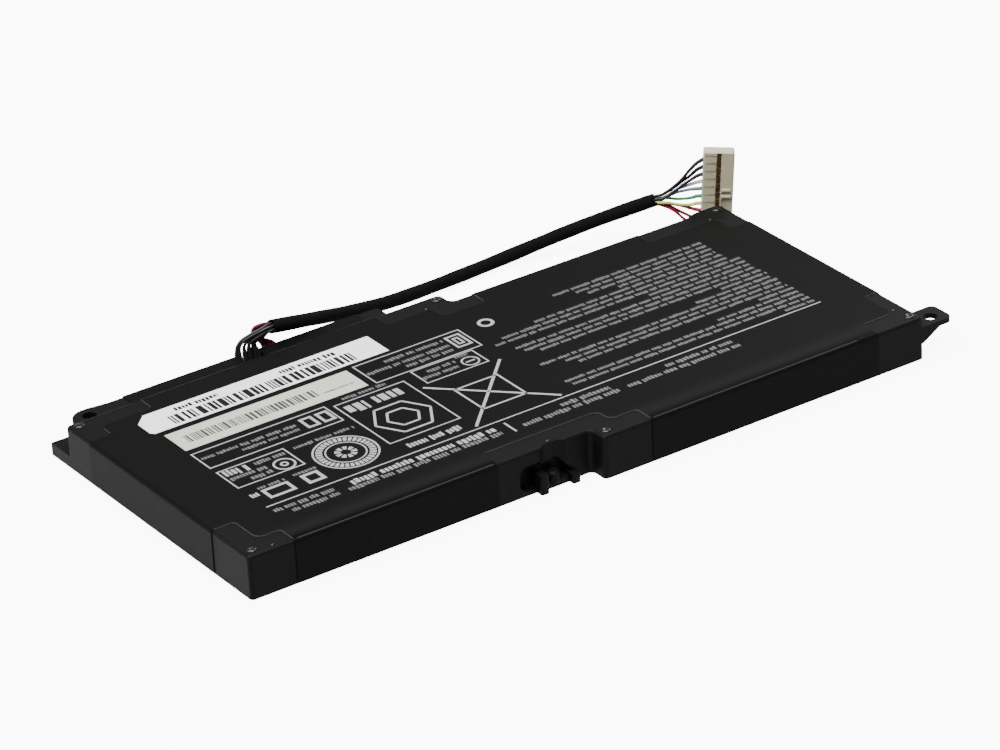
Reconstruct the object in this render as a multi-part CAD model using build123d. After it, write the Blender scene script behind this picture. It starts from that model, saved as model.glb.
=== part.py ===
from build123d import *
from math import cos, pi, radians, sin, tan
import os

# Laptop battery pack: a stepped moulded frame that holds four flat cells in series, closed by a
# bottom sheet and a printed film, with a board bay at the back and a sleeved ten-wire harness.
# Millimetres. The working corner is the near left bottom corner of the frame: X runs along the
# near side, Y towards the back and Z up. Everything is moved to the bottom centre at the end.

# Cells, which set the length, the width and the height of the frame
cell_width = 38.0
cell_length = 65.4
cell_thickness = 9.0
cell_edge_round = 1.5
cell_side_gap = 2.25
cell_near_gap = 3.6
cell_top_gap = 0.1
tab_space = 4.3
divider = 1.2

# Frame
wall = 1.2
flange = 0.9
near_step = 4.8
back_step_past = 11.3
corner_pad_length = 7.5
corner_pad_reach = 1.2
corner_pad_ramp = 3.0
corner_pad_round = 3.0
corner_round = 0.9
near_inner_round = 1.3
near_outer_round = 1.0
back_step_round = 1.6
edge_round = 0.8
rim_width = 5.2

# Bottom sheet and foam pads
sheet_thickness = 0.5
sheet_gap = 0.1
pad_gap = 0.1
pad_inset = 3.0

# Board bay at the back, with the left ear and the low ledge
bay_start = 14.0
bay_end_gap = 1.0
bay_depth = 7.4
shelf_height = 8.0
bay_roof = 0.9
bay_round = 1.0
ear_thickness = 1.3
left_ear_start = 4.4
left_ear_round = 4.2
left_hole_x = 8.7
left_hole_inset = 2.7
left_hole_diameter = 3.3
left_ear_overhang = 0.7
left_boss_diameter = 6.0
left_boss_drop = 2.2
ledge_length = 5.2
ledge_height = 3.0
ledge_past_bay = 0.2

# Right ear with its rib
right_ear_reach = 8.4
right_ear_width = 7.3
right_ear_round = 1.6
right_hole_reach = 4.4
right_hole_inset = 3.1
right_hole_diameter = 3.2
rib_reach = 4.8
rib_drop = 2.8
rib_thickness = 1.2

# Screw fork in the near side, beside the step
fork_from_step = 9.6
scoop_radius = 6.0
scoop_depth = 1.1
scoop_shift = 0.7
fork_base = 1.6
fork_base_reach = 0.4
prong_reach = 2.0
prong_width = 2.1
left_prong_height = 4.6
right_prong_height = 2.3
prong_spacing = 8.3
boss_radius = 1.5
boss_height = 3.9
boss_shift = 0.5
relief_length = 5.4
relief_height = 6.2
relief_base = 1.0
relief_depth = 2.2
relief_round = 2.4
hollow_height = 4.8
hollow_end = 0.9
hollow_slope = 4.0

# Rivet pins in their dimples, and moulding pips on the rim
dimple_inset = 2.3
dimple_diameter = 2.4
dimple_depth = 0.4
dimple_pin = 1.5
pin_rise = 0.2
pin_bevel = 0.3
pip_diameter = 0.9
pip_height = 0.15
pip_step = 4.5
pip_shift = 0.9

# Printed film and stickers
film = 0.2
film_hem = 0.3
film_corner_round = 2.0
bare_short = 5.7
bare_long = 14.7
bare_wide = 11.5
bare_rim = 5.7
bare_back = 5.6
bare_side = 10.4
bare_step = 5.7
bare_trim = 1.5
notch_before_step = 24.7
notch_past_step = 12.9
corner_bare = 25.0
bay_bare = 5.0
step_bare = 18.0
sticker_thickness = 0.1
white_inset = (12.3, 16.6)
white_size = (62.2, 9.0)
white_cut = 3.0
white_nick = 0.8
cream_inset = (14.15, 27.7)
cream_size = (47.55, 9.1)

# Nickel straps
strap_thickness = 0.2
strap_width = 4.6
strap_base = 3.4
terminal_inset = 8.0
tab_reach = 9.0
lead_base = 0.8
lead_wall_gap = 0.8
lead_inset = 6.0
lead_reach = 2.0
slot_gap = 0.6

# Board and what is soldered on it
board_thickness = 1.0
board_height = 2.2
board_side_gap = 0.25
board_end_gap = 0.6
seat_length = 1.5
gauge_size = (5.0, 5.0, 0.9)
gauge_share = 0.24
resistor_size = (6.3, 3.1, 0.6)
resistor_share = 0.37
switch_size = (5.0, 4.0, 1.2)
charge_share = 0.712
discharge_share = 0.803
fuse_size = (3.2, 2.6, 1.0)
fuse_share = 0.894
chip_inset = 0.5
thermistor_size = (3.0, 1.2, 1.6)
thermistor_height = 5.0

# Wire exit and harness: the sleeve's first two points count from the exit and the bay's back, its
# last two from the plug, and those between by their share of the way along
exit_share = 0.4712
exit_length = 6.0
exit_reach = 3.6
slot_from_exit = 7.8
slot_length = 4.4
slot_height = 2.0
sleeve_diameter = 2.9
sleeve_first = [(9.2, -1.3, 13.4), (18.1, 0.9, 11.0)]
sleeve_middle = [
    (0.155, 6.1, 6.2),
    (0.32, 10.1, 2.3),
    (0.503, 11.8, 1.5),
    (0.691, 12.5, 1.8),
    (0.856, 10.3, 4.2),
]
sleeve_last = [(-17.5, 5.5, 7.6), (-8.0, 0.7, 10.3)]
wire_names = ["black", "black", "black", "grey", "blue", "green", "yellow", "red", "red", "red"]
wire_diameter = 0.6
outer_ring = 1.0
outer_count = 7
inner_ring = 0.37
root_step = 0.78
root_inset = 0.55
root_row = 2.15
root_spread = 0.9
knee_reach = 4.6
knee_step = 0.3
knee_rise = 2.2
knee_slope = 0.72
red_count = 3
red_step = 1.3
red_start = 3.6
red_loop = [(7.8, 2.1, 10.4), (4.6, 1.3, 12.2), (3.9, 0.0, 14.0)]
red_spread = [(0.5, 0.0, 0.66), (0.85, 0.1, 0.4), (0.85, 0.1, -0.66)]
red_knee = 2.6
tail_lead = 2.2
tail_entry = 3.2

# Plug
pin_count = 10
pin_pitch = 2.03
plug_end_wall = 0.95
plug_depth = 7.4
plug_thickness = 3.0
plug_inset = 2.1
plug_gap = 5.0
plug_turn = -35.0
plug_lean = 4.0
plug_edge = 0.2
plug_round = 0.6
cavity = 1.3
contact_thickness = 0.9
contact_start = 1.3
contact_end = 6.6
window_start = 3.15
window_length = 1.1
window_height = 1.65
channel = 0.3
groove = 0.5
groove_depth = 0.3
groove_start = 1.5
key_start = 4.6
key_bar = 0.8
key_slot = 0.85
key_rise = 0.4
key_reach = 0.3
key_recess = 0.5

os.makedirs("parts", exist_ok=True)

half_room = 2 * cell_width + divider + 4 * cell_side_gap
near_step_x = wall + half_room + wall / 2
body_length = near_step_x + wall + half_room + wall
back_step_x = near_step_x + back_step_past
left_back = wall + cell_near_gap + cell_length + tab_space + wall
right_near = -near_step
right_back = left_back - near_step
flange_base = sheet_thickness + cell_thickness + cell_top_gap
frame_height = flange_base + flange
film_top = frame_height + film
bay_end = near_step_x - bay_end_gap
bay_length = bay_end - bay_start
bay_back = left_back + bay_depth
ledge_back = bay_back + ledge_past_bay
exit_start = bay_start + exit_share * bay_length
slot_start = exit_start + slot_from_exit
row_left = -film
row_right = body_length + right_ear_reach
row_near = right_near - film
row_back = bay_back + left_ear_overhang
to_row = Location((-(row_left + row_right) / 2, -(row_near + row_back) / 2, 0))


def write(name, shape):
    """Moves a sub-part into the row frame and writes it under its own name."""
    moved = to_row * shape
    moved.label = name
    export_step(moved, f"parts/{name}.step")


def block(x0, x1, y0, y1, z0, z1):
    """A box between two corners."""
    size = (x1 - x0, y1 - y0, z1 - z0)
    return Pos(x0, y0, z0) * Box(*size, align=(Align.MIN, Align.MIN, Align.MIN))


def post(x, y, z0, z1, diameter):
    """An upright cylinder."""
    align = (Align.CENTER, Align.CENTER, Align.MIN)
    return Pos(x, y, z0) * Cylinder(diameter / 2, z1 - z0, align=align)


def rounded_face(points, rounds):
    """A face through points, with each corner rounded by its own radius."""
    face = make_face(Polyline(*points, close=True))
    for point, radius in zip(points, rounds):
        if radius > 0:
            corner = face.vertices().sort_by_distance(Vector(*point))[0]
            face = fillet(corner, radius)
    return face


def prism(face, z0, z1):
    """A face of the XY plane pulled up between two heights."""
    return Pos(0, 0, z0) * extrude(face, z1 - z0)


def crowned(face, z0, z1, radius):
    """A prism whose upper rim is rounded."""
    solid = prism(face, z0, z1)
    rim = solid.faces().sort_by(Axis.Z)[-1].outer_wire().edges()
    return fillet(rim, radius)


# Outline of the frame's full height part, from the near left corner round by the right
pad_start = body_length - corner_pad_length
pad_back = right_back + corner_pad_reach
outline_points = [
    (0, 0),
    (near_step_x, 0),
    (near_step_x, right_near),
    (body_length, right_near),
    (body_length, pad_back),
    (pad_start, pad_back),
    (pad_start - corner_pad_ramp, right_back),
    (back_step_x, right_back),
    (back_step_x, left_back),
    (0, left_back),
]
outline_rounds = [
    corner_round,
    near_inner_round,
    near_outer_round,
    corner_round,
    corner_round,
    corner_pad_round,
    corner_pad_round,
    back_step_round,
    back_step_round,
    corner_round,
]
outline = rounded_face(outline_points, outline_rounds)
bay_face = Rectangle(bay_end - bay_start, bay_depth + wall, align=(Align.MIN, Align.MAX))
bay_face = Pos(bay_start, bay_back) * bay_face
bay_face = fillet(bay_face.vertices().group_by(Axis.Y)[-1], bay_round)
body = crowned(outline, 0, frame_height, edge_round)
bay = prism(bay_face, 0, shelf_height)

# Inside of the frame: two cell pockets, the bay and the recess for the bottom sheet
mid_wall = near_step_x - wall / 2
left_pocket = (wall, mid_wall, wall, left_back - wall)
right_pocket = (near_step_x + wall, body_length - wall, right_near + wall, right_back - wall)
bay_room = (bay_start + wall, bay_end - wall, left_back, bay_back - wall)


def cell_columns(pocket):
    """Left edges of the two cells that share a pocket, and the left edge of their divider."""
    first = pocket[0] + cell_side_gap
    rib = first + cell_width + cell_side_gap
    return first, rib, rib + divider + cell_side_gap


columns = [cell_columns(left_pocket), cell_columns(right_pocket)]
cell_near = [left_pocket[2] + cell_near_gap, right_pocket[2] + cell_near_gap]
cell_back = [near + cell_length for near in cell_near]
cell_left = [columns[0][0], columns[0][2], columns[1][0], columns[1][2]]

# Where the straps and leads run behind the cells
tab_y = [back + strap_thickness / 2 for back in cell_back]
bridge_y = cell_back[1] + 0.6 * (right_pocket[3] - cell_back[1])
bridge_x = [(cell_left[1] + cell_width + mid_wall) / 2, (near_step_x + wall + cell_left[2]) / 2]
lead_y = [left_pocket[3] - lead_wall_gap, right_pocket[3] - lead_wall_gap]
lead_x = [bay_start + lead_inset, bay_end - lead_inset]
end_x = (cell_left[3] + cell_width + right_pocket[1]) / 2
strap_top = strap_base + strap_width
board_top = board_height + board_thickness


def sheet_face(inset):
    """Outline of the bottom sheet: the frame and the bay together, drawn in by an inset."""
    main = offset(outline, -inset)
    neck = Rectangle(bay_end - bay_start - 2 * inset, bay_depth + 2 * wall, align=(Align.MIN, Align.MAX))
    return main + Pos(bay_start + inset, bay_back - inset) * neck


def make_frame():
    """The moulded frame with its rim, bay, ears, ledge, fork and dimples."""
    fork_x = near_step_x - fork_from_step
    scoop_y = scoop_depth - scoop_radius
    frame = body + bay
    frame += block(0, ledge_length, left_back - wall, ledge_back, 0, ledge_height)
    ear_points = [
        (left_ear_start, left_back - wall),
        (bay_start + wall, left_back - wall),
        (bay_start + wall, bay_back),
        (left_hole_x + ear_thickness, bay_back + left_ear_overhang),
        (left_ear_start, bay_back + left_ear_overhang),
    ]
    ear_base = shelf_height - ear_thickness
    ear_face = rounded_face(ear_points, [0, 0, 0, 0, left_ear_round])
    frame += prism(ear_face, ear_base, shelf_height)
    left_hole_y = bay_back - left_hole_inset
    frame += post(left_hole_x, left_hole_y, ear_base - left_boss_drop, shelf_height, left_boss_diameter)
    tip = body_length + right_ear_reach
    ear_back = right_near + right_ear_width
    ear_points = [
        (body_length - wall, right_near),
        (tip, right_near),
        (tip, ear_back),
        (body_length - wall, ear_back),
    ]
    ear_face = rounded_face(ear_points, [0, right_ear_round, right_ear_round, 0])
    frame += prism(ear_face, ear_base, shelf_height)
    rib_points = [
        (body_length - wall, ear_base - rib_drop),
        (body_length, ear_base - rib_drop),
        (body_length + rib_reach, ear_base),
        (body_length - wall, ear_base),
    ]
    rib_face = Plane.XZ * make_face(Polyline(*rib_points, close=True))
    frame += Pos(0, right_near + rib_thickness, 0) * extrude(rib_face, rib_thickness)

    frame -= prism(sheet_face(wall), 0, sheet_thickness)
    for pocket in (left_pocket, right_pocket):
        frame -= block(*pocket, sheet_thickness, flange_base)
    frame -= block(*bay_room, sheet_thickness, shelf_height - bay_roof)

    for column, near, back in zip(columns, cell_near, cell_back):
        frame += block(column[1], column[1] + divider, near - cell_near_gap - wall / 2,
                       back - cell_near_gap, sheet_thickness, flange_base)
    relief_right = fork_x - prong_spacing / 2
    relief_left = relief_right - relief_length
    hollow_right = fork_x + prong_spacing / 2 + hollow_end
    frame += block(relief_left - wall, hollow_right + wall, wall / 2, relief_depth + wall,
                   sheet_thickness, flange_base)

    frame -= post(fork_x - scoop_shift, scoop_y, fork_base, frame_height, 2 * scoop_radius)
    relief_face = rounded_face(
        [
            (relief_left, relief_base),
            (relief_right, relief_base),
            (relief_right, relief_base + relief_height),
            (relief_left, relief_base + relief_height),
        ],
        [relief_round, 0, 0, relief_round],
    )
    hollow_points = [
        (relief_right, fork_base),
        (hollow_right, fork_base),
        (hollow_right - hollow_slope, fork_base + hollow_height),
        (relief_right, fork_base + hollow_height),
    ]
    for face in (relief_face, make_face(Polyline(*hollow_points, close=True))):
        frame -= Pos(0, relief_depth, 0) * extrude(Plane.XZ * face, relief_depth)
    reach = prong_reach
    half = prong_spacing / 2
    frame += block(fork_x - half, fork_x + half, -fork_base_reach, wall, 0, fork_base)
    left_prong = block(fork_x - half - prong_width / 2, fork_x - half + prong_width / 2, -reach, wall,
                       0, left_prong_height)
    right_prong = block(fork_x + half - prong_width / 2, fork_x + half + prong_width / 2, -reach, wall,
                        0, right_prong_height)
    for prong in (left_prong, right_prong):
        front = prong.edges().filter_by(Axis.Z).group_by(Axis.Y)[0]
        frame += fillet(front, prong_width * 0.3)
    boss = post(fork_x - boss_shift, boss_shift, 0, boss_height, 2 * boss_radius)
    boss = chamfer(boss.edges().group_by(Axis.Z)[-1], boss_radius * 0.3)
    frame += boss & block(0, body_length, -reach, left_back, fork_base / 2, frame_height)

    for pocket in (left_pocket, right_pocket):
        inset = rim_width - wall
        frame -= block(pocket[0] + inset, pocket[1] - inset, pocket[2] + inset, pocket[3] - inset,
                       flange_base, frame_height)
    frame -= post(left_hole_x, left_hole_y, ear_base - left_boss_drop, shelf_height, left_hole_diameter)
    hole_x = body_length + right_hole_reach
    hole_y = right_near + right_hole_inset
    frame -= post(hole_x, hole_y, ear_base, shelf_height, right_hole_diameter)
    for x, y in dimple_places():
        frame -= post(x, y, frame_height - dimple_depth, frame_height, dimple_diameter)
        pin = post(x, y, frame_height - dimple_depth, frame_height + pin_rise, dimple_pin)
        frame += chamfer(pin.edges().group_by(Axis.Z)[-1], pin_bevel)
    for x, y in pip_places():
        frame += post(x, y, flange_base, frame_height + pip_height, pip_diameter)

    frame -= block(exit_start, exit_start + exit_length, bay_back - exit_reach, bay_back,
                   board_top, shelf_height)
    frame -= block(slot_start, slot_start + slot_length, bay_back - wall, bay_back,
                   shelf_height - bay_roof - slot_height, shelf_height - bay_roof)
    strap_room = strap_thickness / 2 + slot_gap
    frame -= block(mid_wall, near_step_x + wall, bridge_y - strap_room, bridge_y + strap_room,
                   strap_base - slot_gap, strap_top + slot_gap)
    frame -= block(mid_wall, near_step_x + wall, lead_y[1] - strap_room, lead_y[1] + strap_room,
                   sheet_thickness, board_height + slot_gap / 2)
    for x in lead_x:
        frame -= block(x - strap_room, x + strap_room, left_back - wall, left_back,
                       sheet_thickness, board_height + slot_gap / 2)
    for x in (bay_room[0], bay_room[1] - seat_length):
        frame += block(x, x + seat_length, left_back, bay_back - wall, sheet_thickness, board_height)
    return frame


def dimple_places():
    """Centres of the six rivet pins, set in from the outline's outer corners."""
    inset = dimple_inset
    return [
        (inset, inset),
        (near_step_x + inset, right_near + inset),
        (body_length - inset, right_near + inset),
        (body_length - inset, pad_back - inset),
        (back_step_x - inset, left_back - inset),
        (inset, left_back - inset),
    ]


def pip_places():
    """Centres of the four small moulding pips that stand on the bare rim."""
    return [
        (dimple_inset + pip_step, dimple_inset - pip_shift),
        (back_step_x - dimple_inset - pip_step, left_back - bare_back + pip_shift),
        (body_length - dimple_inset - pip_step, right_back - bare_back + pip_shift),
        (body_length - bare_short + bare_trim + pip_shift, right_near + dimple_inset + pip_step),
    ]


def ribbon(points, z0, z1):
    """A strip of sheet on edge, along straight runs that follow X or Y."""
    half = strap_thickness / 2
    strip = None
    for (xa, ya), (xb, yb) in zip(points, points[1:]):
        run = block(min(xa, xb) - half, max(xa, xb) + half, min(ya, yb) - half, max(ya, yb) + half, z0, z1)
        strip = run if strip is None else strip + run
    return strip


def make_cell(left, near):
    """A flat prismatic cell with rounded long edges."""
    cell = block(left, left + cell_width, near, near + cell_length,
                 sheet_thickness, sheet_thickness + cell_thickness)
    return fillet(cell.edges().filter_by(Axis.Y), cell_edge_round)


def film_cutouts():
    """Outlines where the film is cut away and the bare rim shows."""
    far = body_length
    near = right_near - far
    back = bay_back + far
    r = film_corner_round
    notch_start = near_step_x - notch_before_step
    notch_end = near_step_x + notch_past_step
    corner_bare_start = body_length - corner_bare
    bay_bare_end = bay_start + bay_bare
    outlines = [
        ([(-far, near), (-far, bare_long), (bare_short, bare_long), (bare_short, bare_rim),
          (bare_wide, bare_rim), (bare_wide, near)], [0, 0, r / 2, r, r / 2, 0]),
        ([(notch_start, near), (notch_start, bare_rim), (near_step_x + bare_rim, bare_rim),
          (near_step_x + bare_rim, right_near + bare_rim), (notch_end, right_near + bare_rim),
          (notch_end, near)], [0, r / 2, r, r, r / 2, 0]),
        ([(body_length - bare_wide - bare_trim, near),
          (body_length - bare_wide - bare_trim, right_near + bare_rim),
          (body_length - bare_short + bare_trim, right_near + bare_rim),
          (body_length - bare_short + bare_trim, right_near + bare_long + bare_trim),
          (2 * far, right_near + bare_long + bare_trim), (2 * far, near)], [0, r / 2, r, r / 2, 0, 0]),
        ([(corner_bare_start, back), (corner_bare_start, right_back - bare_back),
          (body_length - bare_short, right_back - bare_back),
          (body_length - bare_short, right_back - bare_wide), (2 * far, right_back - bare_wide),
          (2 * far, back)], [0, r / 2, r, r / 2, 0, 0]),
        ([(back_step_x - step_bare, back), (back_step_x - step_bare, left_back - bare_back),
          (back_step_x - bare_rim, left_back - bare_back), (back_step_x - bare_rim, right_back - bare_back),
          (back_step_x + bare_step, right_back - bare_back), (back_step_x + bare_step, back)],
         [0, r / 2, r, r, r / 2, 0]),
        ([(-far, back), (-far, left_back - bare_side), (bare_short, left_back - bare_side),
          (bare_short, left_back - bare_back), (bay_bare_end, left_back - bare_back),
          (bay_bare_end, back)], [0, 0, r / 2, r, r / 2, 0]),
    ]
    return [prism(rounded_face(points, rounds), -far, far) for points, rounds in outlines]


def make_film():
    """The printed film over the top, the sides and the bay, cut away at the corners."""
    sheet = crowned(offset(outline, film), film_hem, film_top, edge_round + film)
    sheet += prism(offset(bay_face, film), film_hem, shelf_height + film)
    sheet -= body
    sheet -= bay
    for cutout in film_cutouts():
        sheet -= cutout
    sheet -= block(exit_start, exit_start + exit_length, bay_back - exit_reach, bay_back + 2 * film,
                   board_top, film_top)
    sheet -= block(slot_start, slot_start + slot_length, bay_back - wall, bay_back + 2 * film,
                   shelf_height - bay_roof - slot_height, shelf_height - bay_roof)
    return sheet


def make_sticker(left, near, length, width, cut, nick):
    """A paper sticker whose left end has a cut back corner and a nicked near corner."""
    points = [
        (left + nick, near),
        (left + length, near),
        (left + length, near + width),
        (left + cut, near + width),
        (left, near + width - cut),
        (left, near + nick),
    ]
    if cut == 0:
        points = points[:4]
    return prism(make_face(Polyline(*points, close=True)), film_top, film_top + sticker_thickness)


def chip(x, y, length, width, height):
    """A flat package soldered on the board's upper face."""
    package = block(x, x + length, y, y + width, board_top, board_top + height)
    return chamfer(package.edges().group_by(Axis.Z)[-1], height * 0.2)


def bend_radii(points):
    """For each corner of a cord's route, the arc radius that its two runs leave room for."""
    radii = []
    for before, here, after in zip(points, points[1:], points[2:]):
        into = Vector(*here) - Vector(*before)
        out = Vector(*after) - Vector(*here)
        turn = radians(into.get_angle(out))
        radii.append(0.45 * min(into.length, out.length) / tan(turn / 2))
    return radii


def cord(points, diameter):
    """A round cord along straight runs joined by tangent arcs."""
    path = FilletPolyline(*points, radius=bend_radii(points))
    section = Plane(origin=path @ 0, z_dir=path % 0) * Circle(diameter / 2)
    return sweep(section, path=path)


def end_axes(start, towards):
    """Direction of a cord's end run, with its sideways and upward directions."""
    along = (Vector(*towards) - Vector(*start)).normalized()
    side = along.cross(Vector(0, 0, 1)).normalized()
    return along, side, side.cross(along)


def bundle_offsets():
    """Where the ten wires lie in the sleeve: a ring of seven around three."""
    places = []
    for index in range(outer_count):
        angle = 2 * pi * index / outer_count + pi / 2
        places.append((outer_ring * cos(angle), outer_ring * sin(angle)))
    for index in range(pin_count - outer_count):
        angle = 2 * pi * index / (pin_count - outer_count) - pi / 2
        places.append((inner_ring * cos(angle), inner_ring * sin(angle)))
    return places


def make_sleeve_route():
    """The sleeve's points, from the exit round behind the frame to the plug."""
    route = [(exit_start + x, bay_back + y, z) for x, y, z in sleeve_first]
    last = [(body_length - plug_inset + x, bay_back + y, z) for x, y, z in sleeve_last]
    span = last[0][0] - route[-1][0]
    middle = [(route[-1][0] + share * span, bay_back + y, z) for share, y, z in sleeve_middle]
    return route + middle + last


sleeve_route = make_sleeve_route()


def sleeve_end(at, towards):
    """Places of the ten wires on one end face of the sleeve, as points with their sideways offset."""
    along, side, up = end_axes(at, towards)
    return [(Vector(*at) + side * a + up * b, a, b) for a, b in bundle_offsets()]


def root_routes():
    """Routes from the board to the sleeve: seven wires by the notch, then three by the back slot."""
    along = end_axes(sleeve_route[0], sleeve_route[1])[0]
    places = sorted(sleeve_end(sleeve_route[0], sleeve_route[1]), key=lambda place: place[1])
    behind = sorted(places[:red_count], key=lambda place: -place[2])
    ahead = sorted(places[red_count:], key=lambda place: -place[2])
    routes = []
    for index, (end, sideways, _) in enumerate(ahead):
        x = exit_start + root_inset + index * root_step
        y = bay_back - root_row - root_spread * sideways
        knee = end - along * (knee_reach - knee_step * index)
        turn_z = knee.Z - max(knee_rise, (knee.X - x) * knee_slope)
        routes.append([(x, y, board_top), (x, y, turn_z), tuple(knee), tuple(end)])
    for index, (end, _, _) in enumerate(behind):
        x = slot_start + slot_length / 2 + (index - 1) * red_step
        slot_z = shelf_height - bay_roof - slot_height / 2
        route = [
            (x, bay_back - red_start, board_top + wire_diameter / 2),
            (x, bay_back - wall / 2, slot_z),
            (x - wire_diameter / 2, bay_back + 3 * wire_diameter, slot_z + 2.5 * wire_diameter),
        ]
        for point, spread in zip(red_loop, red_spread):
            from_exit = (exit_start, bay_back, 0)
            route.append(tuple(o + a + (index - 1) * b for o, a, b in zip(from_exit, point, spread)))
        knee = end - along * red_knee
        routes.append(route + [tuple(knee), tuple(end)])
    return routes


plug_corner = (body_length - plug_inset, pad_back + plug_gap)
plug_axis = Vector(cos(radians(plug_turn)), sin(radians(plug_turn)), 0)
plug_height = pin_count * pin_pitch + 2 * plug_end_wall
plug_lift = plug_depth * sin(radians(plug_lean))
plug_plane = Plane(origin=(*plug_corner, plug_lift), x_dir=tuple(plug_axis),
                   z_dir=tuple(plug_axis.cross(Vector(0, 0, 1))))
plug_place = plug_plane.location * Rot(0, 0, -plug_lean)
pin_rows = [plug_height - plug_end_wall - pin_pitch * (index + 0.5) for index in range(pin_count)]


def plug_point(depth, row):
    """A point on a pin's centre line, at a depth from the plug's wire face."""
    return (plug_place * Pos(depth, row, -plug_thickness / 2)).position


def tail_routes():
    """Routes from the sleeve to the contacts, the highest wire to the top pin."""
    places = sorted(sleeve_end(sleeve_route[-2], sleeve_route[-1]), key=lambda place: -place[2])
    along = end_axes(sleeve_route[-2], sleeve_route[-1])[0]
    shift = Vector(*sleeve_route[-1]) - Vector(*sleeve_route[-2])
    routes = []
    for (place, _, _), row in zip(places, pin_rows):
        start = place + shift
        lead = start + along * tail_lead
        entry = plug_point(-tail_entry, row)
        stop = plug_point(contact_start, row)
        routes.append([tuple(start), tuple(lead), tuple(entry), tuple(stop)])
    return routes


def make_plug():
    """The plug housing with its cavities, contact windows, grooves, key bars and recess."""
    housing = block(0, plug_depth, 0, plug_height, -plug_thickness, 0)
    housing = fillet(housing.edges().filter_by(Axis.Z), plug_round)
    housing = chamfer(housing.faces().sort_by(Axis.Z)[-1].outer_wire().edges(), plug_round / 2)
    mid = -plug_thickness / 2
    for row in pin_rows:
        housing -= block(0, plug_depth, row - cavity / 2, row + cavity / 2,
                         mid - cavity / 2, mid + cavity / 2)
        housing -= block(window_start, window_start + window_length, row - window_height / 2,
                         row + window_height / 2, mid, 0)
    for row in pin_rows[1:]:
        line = row + pin_pitch / 2
        housing -= block(groove_start, window_start, line - groove / 2, line + groove / 2, -groove_depth, 0)
    housing -= block(window_start, window_start + window_length, plug_end_wall, plug_height - plug_end_wall,
                     -channel, 0)
    slot_low = plug_height / 2 + key_rise - key_slot / 2
    housing -= block(key_start, plug_depth, plug_end_wall, slot_low - key_bar, -key_recess, 0)
    housing -= block(key_start, plug_depth - plug_round, slot_low, slot_low + key_slot, -key_recess, 0)
    for low in (slot_low - key_bar, slot_low + key_slot):
        bar = block(key_start, plug_depth - plug_round, low, low + key_bar, -key_recess - channel, key_reach)
        housing += chamfer(bar.faces().sort_by(Axis.Z)[-1].edges(), plug_edge)
    return plug_place * housing


def make_contacts():
    """Ten stamped contacts, each resting between its cavity's side faces."""
    mid = -plug_thickness / 2
    half = contact_thickness / 2
    contacts = [block(contact_start, contact_end, row - cavity / 2, row + cavity / 2, mid - half, mid + half)
                for row in pin_rows]
    return plug_place * Compound(children=contacts)


write("frame", make_frame())
write("bottom_sheet", prism(sheet_face(wall + sheet_gap), 0, sheet_thickness))
write("label_film", make_film())
write("barcode_sticker", make_sticker(white_inset[0], left_back - white_inset[1], *white_size,
                                      white_cut, white_nick))
write("lot_sticker", make_sticker(cream_inset[0], left_back - cream_inset[1], *cream_size, 0, 0))

for index, left in enumerate(cell_left):
    near = cell_near[index // 2]
    cell_top = sheet_thickness + cell_thickness
    write(f"cell_{index + 1}", make_cell(left, near))
    write(f"foam_pad_{index + 1}", block(left + pad_inset, left + cell_width - pad_inset, near + pad_inset,
                                         near + cell_length - pad_inset, cell_top, frame_height - pad_gap))

# Straps weld to the cells' back ends, two terminals to a cell
half_tab = tab_reach / 2
left_tab = [left + terminal_inset for left in cell_left]
right_tab = [left + cell_width - terminal_inset for left in cell_left]
for number, (one, other) in ((1, (0, 1)), (3, (2, 3))):
    y = tab_y[one // 2]
    write(f"series_strap_{number}", ribbon([(right_tab[one] - half_tab, y), (left_tab[other] + half_tab, y)],
                                           strap_base, strap_top))
bridge = [(right_tab[1] - half_tab, tab_y[0]), (bridge_x[0], tab_y[0]), (bridge_x[0], bridge_y),
          (bridge_x[1], bridge_y), (bridge_x[1], tab_y[1]), (left_tab[2] + half_tab, tab_y[1])]
write("series_strap_2", ribbon(bridge, strap_base, strap_top))
negative = ribbon([(left_tab[0] - half_tab, tab_y[0]), (lead_x[0], tab_y[0])], strap_base, strap_top)
negative += ribbon([(lead_x[0], tab_y[0]), (lead_x[0], lead_y[0])], lead_base, strap_top)
negative += ribbon([(lead_x[0], lead_y[0]), (lead_x[0], left_back + lead_reach)], lead_base, board_height)
write("negative_strap", negative)
positive = ribbon([(right_tab[3] - half_tab, tab_y[1]), (end_x, tab_y[1])], strap_base, strap_top)
positive += ribbon([(end_x, tab_y[1]), (end_x, lead_y[1])], lead_base, strap_top)
positive += ribbon([(end_x, lead_y[1]), (bridge_x[0], lead_y[1]), (bridge_x[0], lead_y[0]),
                    (lead_x[1], lead_y[0]), (lead_x[1], left_back + lead_reach)], lead_base, board_height)
write("positive_strap", positive)

# Board and its packages
write("protection_board", block(bay_room[0] + board_end_gap, bay_room[1] - board_end_gap,
                                left_back + board_side_gap, bay_back - wall - board_side_gap,
                                board_height, board_top))
chip_y = left_back + chip_inset
write("gauge_chip", chip(bay_start + gauge_share * bay_length, chip_y, *gauge_size))
write("sense_resistor", chip(bay_start + resistor_share * bay_length, chip_y, *resistor_size))
write("charge_switch", chip(bay_start + charge_share * bay_length, chip_y, *switch_size))
write("discharge_switch", chip(bay_start + discharge_share * bay_length, chip_y, *switch_size))
write("chemical_fuse", chip(bay_start + fuse_share * bay_length, chip_y, *fuse_size))
bead_x = cell_left[1] + cell_width / 2
bead = block(bead_x - thermistor_size[0] / 2, bead_x + thermistor_size[0] / 2, cell_back[0],
             cell_back[0] + thermistor_size[1], thermistor_height - thermistor_size[2] / 2,
             thermistor_height + thermistor_size[2] / 2)
write("thermistor", fillet(bead.edges().group_by(Axis.Y)[-1], thermistor_size[1] / 3))

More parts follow.
